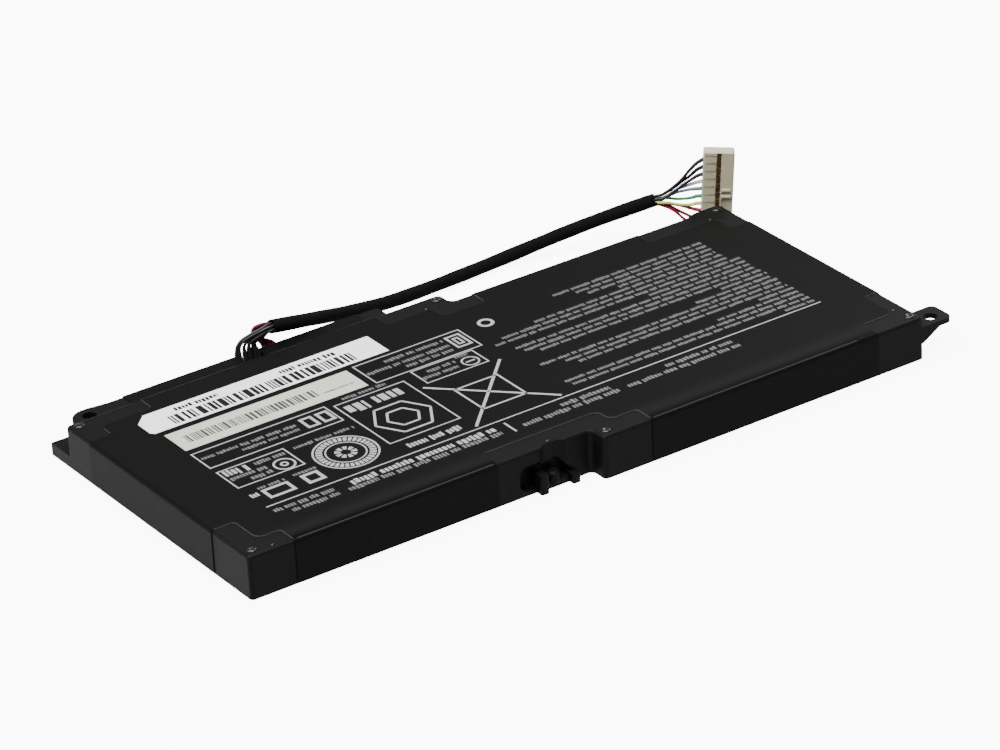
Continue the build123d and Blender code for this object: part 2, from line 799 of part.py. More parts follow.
# Harness: sleeve, then each wire's root at the board and tail at the plug
print("sleeve radii", [round(radius, 2) for radius in bend_radii(sleeve_route)])
write("harness_sleeve", cord(sleeve_route, sleeve_diameter))
for index, (name, root, tail) in enumerate(zip(wire_names, root_routes(), tail_routes())):
    print(f"wire {index + 1} radii", [round(radius, 2) for radius in bend_radii(root) + bend_radii(tail)])
    both = Compound(children=[cord(root, wire_diameter), cord(tail, wire_diameter)])
    write(f"wire_{index + 1:02d}_{name}", both)
write("plug_housing", make_plug())
write("plug_contacts", make_contacts())
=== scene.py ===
import random
from math import cos, pi, radians, sin

import bmesh
import bpy
from mathutils import Matrix, Vector


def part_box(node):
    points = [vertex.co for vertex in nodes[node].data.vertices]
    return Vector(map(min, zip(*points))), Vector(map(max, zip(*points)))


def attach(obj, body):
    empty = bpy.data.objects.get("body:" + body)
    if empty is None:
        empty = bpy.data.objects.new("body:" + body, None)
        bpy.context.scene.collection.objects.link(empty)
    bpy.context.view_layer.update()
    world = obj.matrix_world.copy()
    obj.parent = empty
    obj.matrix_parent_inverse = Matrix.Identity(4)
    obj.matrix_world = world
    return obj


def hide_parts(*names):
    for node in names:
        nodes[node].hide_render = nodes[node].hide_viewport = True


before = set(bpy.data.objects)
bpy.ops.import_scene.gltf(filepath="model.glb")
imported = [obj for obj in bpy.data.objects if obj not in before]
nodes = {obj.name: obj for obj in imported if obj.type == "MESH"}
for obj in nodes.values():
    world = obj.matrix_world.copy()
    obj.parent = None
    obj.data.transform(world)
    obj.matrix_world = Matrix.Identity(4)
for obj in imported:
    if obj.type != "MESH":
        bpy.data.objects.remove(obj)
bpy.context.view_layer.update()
chance = random.Random(7)

# Working places are in millimetres from the frame's near left bottom corner, as in the part's source.
# The film's low corner fixes that corner in the row frame.
FILM = 0.2
NEAR_STEP = 4.8
FILM_HEM = 0.3
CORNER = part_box("label_film")[0] * 1000 + Vector((FILM, NEAR_STEP + FILM, -FILM_HEM))
FRAME_TOP = 10.5
FILM_TOP = 10.7
STICKER_TOP = 10.8
INK_LIFT = 0.012
NEAR_STEP_X = 88.0
BOARD_TOP = 3.2


def at(x, y, z=0.0):
    """A working place in the row frame, in metres."""
    return (Vector((x, y, z)) + CORNER) * 0.001


def piece(name, mesh_or_curve, material):
    """A new object in the row frame that rides on the pack."""
    obj = bpy.data.objects.new(name, mesh_or_curve)
    bpy.context.scene.collection.objects.link(obj)
    mesh_or_curve.materials.append(material)
    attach(obj, "root")
    return obj


def finished(name, build, material, smooth=False):
    """A piece from a finished bmesh."""
    mesh = bpy.data.meshes.new(name)
    for face in build.faces:
        face.smooth = smooth
    build.to_mesh(mesh)
    build.free()
    return piece(name, mesh, material)


def pull(build, row, places, closed=False):
    """Extrudes a chain of vertices and sets each new vertex at its place."""
    pairs = list(zip(row, row[1:]))
    if closed:
        pairs.append((row[-1], row[0]))
    edges = [build.edges.get(pair) or build.edges.new(pair) for pair in pairs]
    grown = bmesh.ops.extrude_edge_only(build, edges=edges)["geom"]
    order = {vertex: index for index, vertex in enumerate(row)}
    fresh = [None] * len(row)
    for vertex in grown:
        if isinstance(vertex, bmesh.types.BMVert):
            for edge in vertex.link_edges:
                source = edge.other_vert(vertex)
                if source in order:
                    fresh[order[source]] = vertex
    for vertex, place in zip(fresh, places):
        vertex.co = place
    return fresh


# Materials

def group(name, inputs, outputs):
    """An empty shader node group with float inputs and outputs."""
    tree = bpy.data.node_groups.new(name, "ShaderNodeTree")
    for label, value in inputs:
        socket = tree.interface.new_socket(label, in_out="INPUT", socket_type="NodeSocketFloat")
        socket.default_value = value
    for label in outputs:
        tree.interface.new_socket(label, in_out="OUTPUT", socket_type="NodeSocketFloat")
    return tree, tree.nodes.new("NodeGroupInput"), tree.nodes.new("NodeGroupOutput")


def math_node(tree, operation, a, b=None):
    """A math node whose inputs are sockets or numbers."""
    node = tree.nodes.new("ShaderNodeMath")
    node.operation = operation
    for socket, value in zip(node.inputs, (a, b)):
        if value is None:
            continue
        if isinstance(value, (int, float)):
            socket.default_value = value
        else:
            tree.links.new(value, socket)
    return node.outputs[0]


def make_grain():
    """Moulded grain: a fine pebble height and a slow cloud, both from object coordinates."""
    tree, inside, outside = group("moulded_grain", [("Scale", 3000.0)], ["Height", "Cloud"])
    place = tree.nodes.new("ShaderNodeTexCoord")
    fine = tree.nodes.new("ShaderNodeTexNoise")
    fine.inputs["Detail"].default_value = 3.0
    fine.inputs["Roughness"].default_value = 0.55
    tree.links.new(place.outputs["Object"], fine.inputs["Vector"])
    tree.links.new(inside.outputs["Scale"], fine.inputs["Scale"])
    cloud = tree.nodes.new("ShaderNodeTexNoise")
    cloud.inputs["Scale"].default_value = 45.0
    cloud.inputs["Detail"].default_value = 4.0
    tree.links.new(place.outputs["Object"], cloud.inputs["Vector"])
    tree.links.new(fine.outputs[0], outside.inputs["Height"])
    tree.links.new(cloud.outputs[0], outside.inputs["Cloud"])
    return tree


def make_weave():
    """A fine braid from UV: two sets of slanted strands, with the upper one changing in a checker."""
    tree, inside, outside = group("braid", [("Around", 26.0), ("Along", 300.0)], ["Height", "PaintedGapShade"])
    uv = tree.nodes.new("ShaderNodeUVMap")
    uv.uv_map = "braid"
    split = tree.nodes.new("ShaderNodeSeparateXYZ")
    tree.links.new(uv.outputs[0], split.inputs[0])
    around = math_node(tree, "MULTIPLY", split.outputs[0], inside.outputs["Around"])
    along = math_node(tree, "MULTIPLY", split.outputs[1], inside.outputs["Along"])
    one = math_node(tree, "ADD", around, along)
    two = math_node(tree, "SUBTRACT", around, along)
    wave_one = math_node(tree, "ABSOLUTE", math_node(tree, "SINE", math_node(tree, "MULTIPLY", one, pi)))
    wave_two = math_node(tree, "ABSOLUTE", math_node(tree, "SINE", math_node(tree, "MULTIPLY", two, pi)))
    turns = math_node(tree, "ADD", math_node(tree, "FLOOR", one), math_node(tree, "FLOOR", two))
    pick = math_node(tree, "MODULO", math_node(tree, "ABSOLUTE", turns), 2.0)
    over = math_node(tree, "MULTIPLY", wave_one, pick)
    under = math_node(tree, "MULTIPLY", wave_two, math_node(tree, "SUBTRACT", 1.0, pick))
    height = math_node(tree, "ADD", over, under)
    tree.links.new(height, outside.inputs["Height"])
    tree.links.new(math_node(tree, "POWER", height, 0.5), outside.inputs["PaintedGapShade"])
    return tree


def make_root_shade():
    """A mask of painted shade that is one on the wires' roots, left of the sleeve, and nought on their
    tails.
    """
    tree, inside, outside = group("root_shade", [("From", -0.03), ("To", -0.01)], ["Mask"])
    place = tree.nodes.new("ShaderNodeTexCoord")
    split = tree.nodes.new("ShaderNodeSeparateXYZ")
    tree.links.new(place.outputs["Object"], split.inputs[0])
    ramp = tree.nodes.new("ShaderNodeMapRange")
    tree.links.new(split.outputs[0], ramp.inputs["Value"])
    tree.links.new(inside.outputs["From"], ramp.inputs["From Min"])
    tree.links.new(inside.outputs["To"], ramp.inputs["From Max"])
    ramp.inputs["To Min"].default_value = 1.0
    ramp.inputs["To Max"].default_value = 0.0
    tree.links.new(ramp.outputs[0], outside.inputs["Mask"])
    return tree


# Distances from the film's near edge, in metres, between which each mask of its shoulder rises and falls;
# the band is painted highlight and the dip is painted shade
SHOULDER_LIGHT_SHADE_MASKS = [
    ("PaintedLightBand", (0.0014, 0.0034), (0.0036, 0.0080)),
    ("PaintedShadeDip", (0.0, 0.0008), (0.0008, 0.0022)),
]


def make_painted_shoulder_light():
    """Masks of painted light on the film's soft near shoulder: a pale band of painted highlight and a
    darker dip of painted shade next to the edge.
    """
    inputs = [("Step", at(NEAR_STEP_X, 0).x), ("Near", at(0, 0).y), ("Shift", NEAR_STEP * 0.001)]
    tree, inside, outside = group("film_shoulder_painted_light", inputs, ["PaintedLightBand", "PaintedShadeDip"])
    place = tree.nodes.new("ShaderNodeTexCoord")
    split = tree.nodes.new("ShaderNodeSeparateXYZ")
    tree.links.new(place.outputs["Object"], split.inputs[0])
    past = math_node(tree, "GREATER_THAN", split.outputs[0], inside.outputs["Step"])
    shift = math_node(tree, "MULTIPLY", past, inside.outputs["Shift"])
    inward = math_node(tree, "SUBTRACT", split.outputs[1], inside.outputs["Near"])
    depth = math_node(tree, "ADD", inward, shift)
    for label, rise, fall in SHOULDER_LIGHT_SHADE_MASKS:
        ramps = []
        for (start, stop), ends in ((rise, (0.0, 1.0)), (fall, (1.0, 0.0))):
            ramp = tree.nodes.new("ShaderNodeMapRange")
            ramp.interpolation_type = "SMOOTHSTEP"
            tree.links.new(depth, ramp.inputs["Value"])
            ramp.inputs["From Min"].default_value = start
            ramp.inputs["From Max"].default_value = stop
            ramp.inputs["To Min"].default_value = ends[0]
            ramp.inputs["To Max"].default_value = ends[1]
            ramps.append(ramp.outputs[0])
        tree.links.new(math_node(tree, "MULTIPLY", *ramps), outside.inputs[label])
    return tree


GRAIN = make_grain()
PAINTED_SHOULDER_LIGHT = make_painted_shoulder_light()
BRAID = make_weave()
ROOT_SHADE = make_root_shade()


def mix_colours(tree, factor, one, two):
    """A colour mix whose ends are colours or sockets."""
    node = tree.nodes.new("ShaderNodeMix")
    node.data_type = "RGBA"
    for socket, value in ((node.inputs[6], one), (node.inputs[7], two)):
        if isinstance(value, tuple):
            socket.default_value = (*value, 1.0)
        else:
            tree.links.new(value, socket)
    tree.links.new(factor, node.inputs[0])
    return node.outputs[2]


def use_group(tree, shared, **values):
    """A shared node group placed in a material with its own values."""
    node = tree.nodes.new("ShaderNodeGroup")
    node.node_tree = shared
    for label, value in values.items():
        node.inputs[label].default_value = value
    return node


def surface(name, dark, light, rough, specular, grain=3000.0, bump=0.02, metallic=0.0, coat=0.0):
    """A procedural surface: cloudy colour between two tones, grain in the bump and the roughness."""
    material = bpy.data.materials.new(name)
    material.use_nodes = True
    tree = material.node_tree
    shader = tree.nodes["Principled BSDF"]
    texture = use_group(tree, GRAIN, Scale=grain)
    colour = mix_colours(tree, texture.outputs["Cloud"], dark, light)
    tree.links.new(colour, shader.inputs["Base Color"])
    spread = math_node(tree, "MULTIPLY", texture.outputs["Height"], rough * 0.3)
    tree.links.new(math_node(tree, "ADD", spread, rough * 0.85), shader.inputs["Roughness"])
    relief = tree.nodes.new("ShaderNodeBump")
    relief.inputs["Strength"].default_value = 0.6
    relief.inputs["Distance"].default_value = bump * 0.001
    tree.links.new(texture.outputs["Height"], relief.inputs["Height"])
    tree.links.new(relief.outputs[0], shader.inputs["Normal"])
    shader.inputs["Metallic"].default_value = metallic
    shader.inputs["Specular IOR Level"].default_value = specular
    shader.inputs["Coat Weight"].default_value = coat
    return material


def grey(value):
    """A slightly cool grey."""
    return (value, value, value * 1.02)


frame_plastic = surface("frame_plastic", grey(0.0045), grey(0.0060), 0.45, 0.06, 2600.0, 0.03)
film_black = surface("film_black", grey(0.0035), grey(0.0045), 0.42, 0.04, 5200.0, 0.008)


def paint_shoulder_light_and_shade(material):
    """Paints light and shade into the film's colour along its near edge, where it sags a little before it
    turns down: a painted highlight band and a painted shade dip.
    """
    tree = material.node_tree
    base = tree.nodes["Principled BSDF"].inputs["Base Color"]
    masks = use_group(tree, PAINTED_SHOULDER_LIGHT)
    # A painted highlight band, then a painted shade dip next to the edge.
    lit = mix_colours(tree, masks.outputs["PaintedLightBand"], base.links[0].from_socket, grey(0.0068))
    tree.links.new(mix_colours(tree, masks.outputs["PaintedShadeDip"], lit, grey(0.0012)), base)


paint_shoulder_light_and_shade(film_black)
sheet_black = surface("sheet_black", grey(0.008), grey(0.011), 0.55, 0.2, 2200.0, 0.02)
pin_gloss = surface("pin_gloss", grey(0.004), grey(0.005), 0.24, 0.45, 2600.0, 0.0)
ink = surface("ink", grey(0.26), grey(0.34), 0.5, 0.3, 5000.0, 0.004)
fine_ink = surface("fine_ink", grey(0.08), grey(0.13), 0.5, 0.3, 5000.0, 0.004)
# Painted highlight: the pale greys of the film's cut edges and fold, and of its cut walls.
film_highlight = surface("film_highlight", grey(0.018), grey(0.024), 0.4, 0.1, 5000.0, 0.004)
film_wall_highlight = surface("film_wall_highlight", grey(0.08), grey(0.10), 0.5, 0.1, 5000.0, 0.004)
white_paper = surface("white_paper", (0.80, 0.80, 0.82), (0.86, 0.86, 0.87), 0.45, 0.4, 4000.0, 0.006)
cream_paper = surface("cream_paper", (0.43, 0.44, 0.38), (0.48, 0.49, 0.42), 0.45, 0.4, 4000.0, 0.006)
bar_ink = surface("bar_ink", grey(0.004), grey(0.007), 0.5, 0.1, 4000.0, 0.004)
faded_ink = surface("faded_ink", (0.025, 0.025, 0.022), (0.05, 0.05, 0.042), 0.5, 0.2, 4000.0, 0.004)
ivory = surface("ivory", (0.44, 0.40, 0.28), (0.49, 0.45, 0.32), 0.42, 0.15, 2400.0, 0.012)
# Painted shade: darker ivory for the plug's grooves, and dark brown for its contact channel, which also
# stands for the brass.
rib_shade = surface("rib_shade", (0.26, 0.23, 0.16), (0.32, 0.29, 0.20), 0.5, 0.15, 2400.0, 0.01)
channel_shade_brown = surface("channel_shade_brown", (0.028, 0.016, 0.006), (0.05, 0.03, 0.012), 0.5, 0.3, 2400.0, 0.01)
brass = surface("brass", (0.42, 0.27, 0.10), (0.58, 0.40, 0.17), 0.35, 0.5, 3000.0, 0.006, metallic=1.0)
can_metal = surface("can_metal", (0.55, 0.55, 0.57), (0.63, 0.63, 0.65), 0.38, 0.5, 1800.0, 0.01,
                    metallic=1.0)
nickel = surface("nickel", (0.55, 0.53, 0.49), (0.64, 0.62, 0.58), 0.33, 0.5, 2600.0, 0.006, metallic=1.0)
foam = surface("foam", grey(0.03), grey(0.05), 0.9, 0.1, 1300.0, 0.12)
lacquer = surface("lacquer", (0.01, 0.09, 0.04), (0.015, 0.12, 0.055), 0.3, 0.5, 2200.0, 0.01, coat=0.3)
package = surface("package", grey(0.015), grey(0.022), 0.6, 0.3, 2800.0, 0.02)

WIRE_TONES = {
    "black": ((0.006, 0.006, 0.007), (0.011, 0.011, 0.012)),
    "grey": ((0.50, 0.51, 0.52), (0.60, 0.61, 0.62)),
    "blue": ((0.09, 0.15, 0.22), (0.14, 0.20, 0.28)),
    "green": ((0.03, 0.21, 0.08), (0.06, 0.30, 0.13)),
    "yellow": ((0.62, 0.58, 0.10), (0.74, 0.70, 0.18)),
    "red": ((0.26, 0.010, 0.040), (0.36, 0.016, 0.055)),
}
# Painted shade on the wires' roots: dark red for the red ones, the black wire's tone for the rest.
ROOT_SHADE_TONES = {"red": (0.14, 0.006, 0.024)}


def wire_skin(name):
    """Wire insulation in its own colour on the tail, darkened at the roots by painted shade."""
    dark, light = WIRE_TONES[name]
    material = surface("wire_" + name, dark, light, 0.38, 0.4, 2400.0, 0.006)
    tree = material.node_tree
    base = tree.nodes["Principled BSDF"].inputs["Base Color"]
    # Painted shade darkens the roots.
    shade = use_group(tree, ROOT_SHADE)
    root = ROOT_SHADE_TONES.get(name, WIRE_TONES["black"][1])
    tree.links.new(mix_colours(tree, shade.outputs["Mask"], base.links[0].from_socket, root), base)
    return material


wire_skins = {name: wire_skin(name) for name in WIRE_TONES}


def make_sleeve_cloth():
    """Black braided cloth: strands from the braid group, dull, with painted shade in the gaps between
    strands and lighter crowns.
    """
    material = surface("sleeve_cloth", grey(0.002), grey(0.004), 0.75, 0.03, 2600.0, 0.02)
    tree = material.node_tree
    shader = tree.nodes["Principled BSDF"]
    braid = use_group(tree, BRAID)
    relief = tree.nodes.new("ShaderNodeBump")
    relief.inputs["Strength"].default_value = 1.0
    relief.inputs["Distance"].default_value = 0.0001
    tree.links.new(braid.outputs["Height"], relief.inputs["Height"])
    tree.links.new(relief.outputs[0], shader.inputs["Normal"])
    # Painted shade: the gaps between strands near black, the crowns lighter.
    strands = mix_colours(tree, braid.outputs["PaintedGapShade"], grey(0.0005), grey(0.0072))
    tree.links.new(strands, shader.inputs["Base Color"])
    return material


sleeve_cloth = make_sleeve_cloth()

# Finish of the nodes that keep their shape
FINISH = {
    "frame": frame_plastic, "bottom_sheet": sheet_black, "label_film": film_black,
    "barcode_sticker": white_paper, "lot_sticker": cream_paper, "protection_board": lacquer,
    "gauge_chip": package, "charge_switch": package, "discharge_switch": package, "chemical_fuse": package,
    "sense_resistor": package, "thermistor": package, "plug_housing": ivory, "plug_contacts": brass,
    "positive_strap": nickel, "negative_strap": nickel,
}
for number in range(1, 5):
    FINISH[f"cell_{number}"] = can_metal
    FINISH[f"foam_pad_{number}"] = foam
for number in range(1, 4):
    FINISH[f"series_strap_{number}"] = nickel
for name, material in FINISH.items():
    mesh = nodes[name].data
    mesh.materials.clear()
    mesh.materials.append(material)

# Harness routes: the sleeve's points repeat the part's source, the wires' ends are listed here
SLEEVE = [(57.6, 81.8, 13.4), (66.5, 84.0, 11.0), (80.53, 89.2, 6.2), (95.46, 93.2, 2.3),
          (112.02, 94.9, 1.5), (129.04, 95.6, 1.8), (143.97, 93.4, 4.2), (157.0, 88.6, 7.6),
          (166.5, 83.8, 10.3)]
SLEEVE_RADIUS = 1.6
WIRES = ["black", "black", "black", "grey", "blue", "green", "yellow", "red", "red", "red"]
WIRE_RADIUS = 0.35
BUNDLE_OUTER = 1.0
BUNDLE_INNER = 0.37
BUNDLE_SQUEEZE = 0.9
ROOTS = [
    [(48.9, 81.0, BOARD_TOP), (48.7, 81.7, 6.0), (48.5, 82.4, 8.6), (48.7, 82.5, 10.8), (49.8, 82.4, 12.2),
     (52.0, 82.2, 12.9), (54.6, 82.0, 13.5)],
    [(49.7, 80.9, BOARD_TOP), (49.4, 81.5, 6.0), (49.1, 82.2, 8.6), (49.2, 82.3, 10.6), (50.2, 82.2, 11.9),
     (52.2, 82.0, 12.6), (54.7, 81.8, 13.1)],
    [(50.7, 81.0, BOARD_TOP), (50.6, 81.7, 6.0), (50.6, 82.4, 8.6), (50.6, 82.5, 10.4), (51.4, 82.4, 11.4),
     (52.9, 82.2, 12.1), (55.0, 82.0, 12.7)],
    [(51.7, 81.0, BOARD_TOP), (51.7, 81.6, 6.0), (51.7, 82.2, 8.6), (51.6, 82.3, 10.2), (52.3, 82.2, 11.1),
     (53.6, 82.0, 11.7), (55.4, 81.8, 12.3)],
    [(53.1, 81.0, BOARD_TOP), (53.1, 81.6, 6.0), (53.1, 82.2, 8.4), (52.7, 82.3, 9.9), (52.9, 82.3, 10.9),
     (54.2, 82.1, 11.4), (55.8, 81.9, 12.0)],
    [(53.9, 81.0, BOARD_TOP), (53.9, 81.6, 6.0), (54.0, 82.2, 8.3), (53.5, 82.5, 9.8), (53.6, 82.5, 10.6),
     (54.7, 82.3, 11.0), (56.0, 82.0, 11.6)],
    [(52.4, 81.2, BOARD_TOP), (52.4, 82.0, 6.0), (52.3, 82.9, 8.5), (52.1, 83.0, 10.2), (52.8, 82.9, 11.4),
     (54.4, 82.6, 12.2), (56.0, 82.3, 12.8)],
]
RED_SLOT_X = 58.4
RED_STEP = 1.3
RED_FOOT = [(79.5, BOARD_TOP + 0.3), (82.5, 6.1), (84.9, 7.6)]
RED_LOOP = [(56.8, 84.5, 9.0), (55.2, 84.0, 10.6), (53.9, 83.6, 11.9), (53.9, 83.2, 13.3),
            (55.4, 82.7, 14.1)]
RED_SPREAD = [(0.55, 0.0, 0.1), (0.5, 0.0, 0.3), (0.4, 0.2, 0.25), (0.4, 0.1, -0.45), (0.3, 0.2, -0.4)]

# Tails fan out in one upright plane between the sleeve's end and the plug, as distance and height there
TAILS = [
    [(1.6, 11.4), (3.4, 12.5), (5.2, 13.9), (6.9, 15.5), (8.2, 17.2)],
    [(1.6, 11.0), (3.4, 12.0), (5.3, 13.4), (7.1, 14.8), (8.6, 15.9)],
    [(1.6, 10.6), (3.4, 11.5), (5.4, 12.9), (7.2, 14.2), (8.6, 14.9)],
    [(1.6, 10.4), (3.4, 11.2), (5.0, 12.4), (6.4, 13.0), (8.0, 13.5)],
    [(1.6, 10.2), (3.0, 11.0), (4.6, 11.8), (6.4, 12.2), (8.6, 12.5)],
    [(1.4, 10.1), (2.9, 10.3), (4.7, 9.9), (7.4, 9.9), (9.2, 10.2)],
    [(1.5, 9.8), (3.0, 9.7), (4.8, 9.1), (6.8, 8.6), (8.8, 8.5)],
    [(1.5, 9.5), (3.0, 9.3), (4.8, 8.7), (6.6, 8.2), (8.6, 7.4)],
    [(1.5, 9.3), (2.8, 8.7), (4.2, 7.9), (5.6, 6.9), (7.2, 6.0), (8.8, 5.0)],
    [(1.5, 9.0), (2.8, 8.4), (4.2, 7.5), (5.4, 6.4), (6.4, 5.2), (8.2, 3.4)],
]
APPROACH = 0.09

# How much thicker the wires are at their roots and crimps, by the place of the point in the route
ROOT_SWELL = 1.7
CRIMP_TAPER = 1.15
CRIMP_SWELL = 1.35
SWELLS = [(0, ROOT_SWELL), (1, ROOT_SWELL), (2, ROOT_SWELL), (-3, CRIMP_TAPER), (-2, CRIMP_SWELL),
          (-1, CRIMP_SWELL)]


def end_axes(start, towards):
    """Direction of a cord's end run, with its sideways and upward directions."""
    along = (Vector(towards) - Vector(start)).normalized()
    side = along.cross(Vector((0, 0, 1))).normalized()
    return along, side, side.cross(along)


def bundle():
    """Where the ten wires lie in the sleeve: a ring of seven around three."""
    outer = [2 * pi * index / 7 + pi / 2 for index in range(7)]
    inner = [2 * pi * index / 3 - pi / 2 for index in range(3)]
    around = [(BUNDLE_OUTER * cos(a), BUNDLE_OUTER * sin(a)) for a in outer]
    return around + [(BUNDLE_INNER * cos(a), BUNDLE_INNER * sin(a)) for a in inner]


def root_routes():
    """From the board to the sleeve: seven wires by the notch, then three by the back slot."""
    _, side, up = end_axes(SLEEVE[0], SLEEVE[1])
    places = sorted(bundle())
    behind = sorted(places[:3], key=lambda place: -place[1])
    ahead = sorted(places[3:], key=lambda place: -place[1])
    routes = []
    for points, (a, b) in zip(ROOTS, ahead):
        end = Vector(SLEEVE[0]) + side * a + up * b
        routes.append(([Vector(point) for point in points] + [end], (a, b)))
    for index, (a, b) in enumerate(behind):
        end = Vector(SLEEVE[0]) + side * a + up * b
        x = RED_SLOT_X + (index - 1) * RED_STEP
        route = [Vector((x, y, z)) for y, z in RED_FOOT]
        for point, step in zip(RED_LOOP, RED_SPREAD):
            route.append(Vector(point) + Vector(step) * (index - 1))
        routes.append((route + [end], (a, b)))
    return routes


PLUG_TURN = radians(-35.0)
PLUG_LEAN = radians(4.0)
PLUG_AXIS = Vector((cos(PLUG_TURN), sin(PLUG_TURN), 0))
PLUG_NORMAL = PLUG_AXIS.cross(Vector((0, 0, 1)))
PLUG_DEPTH = 7.4
PLUG_HEIGHT = 22.2
PLUG_END_WALL = 0.95
PIN_PITCH = 2.03
PLUG_CORNER = Vector((174.5, 77.1, PLUG_DEPTH * sin(PLUG_LEAN)))


def plug_point(depth, row, front=-1.5):
    """A place in the plug: depth from the wire face, height along the pin row, distance from the front."""
    u = depth * cos(PLUG_LEAN) + row * sin(PLUG_LEAN)
    v = row * cos(PLUG_LEAN) - depth * sin(PLUG_LEAN)
    return PLUG_CORNER + PLUG_AXIS * u + Vector((0, 0, v)) + PLUG_NORMAL * front


def tail_routes():
    """From the sleeve to the contacts, the highest wire to the top pin."""
    _, side, up = end_axes(SLEEVE[-2], SLEEVE[-1])
    mouth = Vector(SLEEVE[-1])
    entry = plug_point(0.0, PLUG_HEIGHT / 2)
    fan = Vector((entry.x - mouth.x, entry.y - mouth.y, 0))
    reach = fan.length
    fan.normalize()
    across = fan.cross(Vector((0, 0, 1)))
    routes = []
    for index, (points, (a, b)) in enumerate(zip(TAILS, sorted(bundle(), key=lambda place: -place[1]))):
        row = PLUG_HEIGHT - PLUG_END_WALL - PIN_PITCH * (index + 0.5)
        route = [mouth + side * a + up * b]
        for distance, height in points:
            spare = a * (1 - distance / reach)
            place = Vector((mouth.x, mouth.y, 0)) + fan * distance + across * spare
            route.append(Vector((place.x, place.y, height)))
        near = plug_point(-0.9, row - APPROACH * (row - mouth.z))
        routes.append((route + [near, plug_point(1.3, row)], (a, b)))
    return routes


def nurbs(name, points, radius=0.0, resolution=12, swells=()):
    """A smooth cord on its control points, round if it has a radius."""
    curve = bpy.data.curves.new(name, "CURVE")
    curve.dimensions = "3D"
    curve.resolution_u = resolution
    spline = curve.splines.new("NURBS")
    spline.points.add(len(points) - 1)
    for point, place in zip(spline.points, points):
        point.co = (*at(*place), 1.0)
    for index, swell in swells:
        spline.points[index].radius = swell
    spline.order_u = 3
    spline.use_endpoint_u = True
    curve.bevel_depth = radius * 0.001
    curve.bevel_resolution = 5
    curve.use_fill_caps = radius > 0
    return curve


def curve_points(name, points, resolution):
    """Points read from the smooth line through a route's control points."""
    curve = nurbs(name, points, 0.0, resolution)
    holder = bpy.data.objects.new(name, curve)
    bpy.context.scene.collection.objects.link(holder)
    mesh = bpy.data.meshes.new_from_object(holder)
    line = [vertex.co.copy() for vertex in mesh.vertices]
    bpy.data.objects.remove(holder)
    bpy.data.curves.remove(curve)
    bpy.data.meshes.remove(mesh)
    return line


def sweep_rings(line):
    """A frame of two cross directions for each point of a line, turning as little as it can."""
    rings = []
    side = None
    for index, point in enumerate(line):
        before = line[max(index - 1, 0)]
        after = line[min(index + 1, len(line) - 1)]
        along = (after - before).normalized()
        if side is None:
            side = along.cross(Vector((0, 0, 1))).normalized()
        side = (side - along * side.dot(along)).normalized()
        rings.append((point, side, along.cross(side), along))
    return rings


# Sleeve: sides of a ring, width of the mouth, waves of its width as size, rate and shift, and the fray
SLEEVE_SIDES = 40
SLEEVE_LIP = 0.84
SLEEVE_WAVES = [(0.02, 420.0, 0.0), (0.015, 173.0, 1.0)]
FRAY = 0.0003
FRAY_REACH = 0.0012


def sleeve_ring(ring, distance, total):
    """One ring of the sleeve: uneven, frayed at both ends, and flat where it lies on the ground."""
    point, side, up, along = ring
    swell = 1.0 + sum(size * sin(distance * rate + shift) for size, rate, shift in SLEEVE_WAVES)
    radius = SLEEVE_RADIUS * 0.001 * swell
    at_end = max(0.0, 1.0 - min(distance, total - distance) / FRAY_REACH)
    places = []
    for index in range(SLEEVE_SIDES):
        turn = 2 * pi * index / SLEEVE_SIDES
        fray = FRAY * at_end * (sin(5 * turn + 1.0) + 0.6 * sin(11 * turn))
        place = point + (side * cos(turn) + up * sin(turn)) * radius + along * fray
        place.z = max(place.z, 0.0)
        places.append(place)
    return places


def make_sleeve():
    """The woven sleeve: an open tube with a lip at each end."""
    line = curve_points("sleeve_line", SLEEVE, 40)
    rings = sweep_rings(line)
    reach = [0.0]
    for one, two in zip(line, line[1:]):
        reach.append(reach[-1] + (two - one).length)
    total = reach[-1]
    build = bmesh.new()
    first = bmesh.ops.create_circle(build, segments=SLEEVE_SIDES, radius=0.001)["verts"]
    for vertex, place in zip(first, sleeve_ring(rings[0], 0.0, total)):
        vertex.co = place
    rows = [first]
    for ring, distance in zip(rings[1:], reach[1:]):
        rows.append(pull(build, rows[-1], sleeve_ring(ring, distance, total), closed=True))
    spot = {vertex: (turn, row) for row, ring in enumerate(rows) for turn, vertex in enumerate(ring)}
    uv = build.loops.layers.uv.new("braid")
    for face in build.faces:
        turns = [spot[loop.vert][0] for loop in face.loops]
        wraps = max(turns) - min(turns) > SLEEVE_SIDES / 2
        for loop, turn in zip(face.loops, turns):
            turn += SLEEVE_SIDES if wraps and turn == 0 else 0
            loop[uv].uv = (turn / SLEEVE_SIDES, reach[spot[loop.vert][1]] / total)
    for row, ring in ((rows[0], rings[0]), (rows[-1], rings[-1])):
        pull(build, row, [ring[0] + (vertex.co - ring[0]) * SLEEVE_LIP for vertex in row], closed=True)
    bmesh.ops.recalc_face_normals(build, faces=build.faces)
    obj = finished("woven_sleeve", build, sleeve_cloth, smooth=True)
    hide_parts("harness_sleeve")


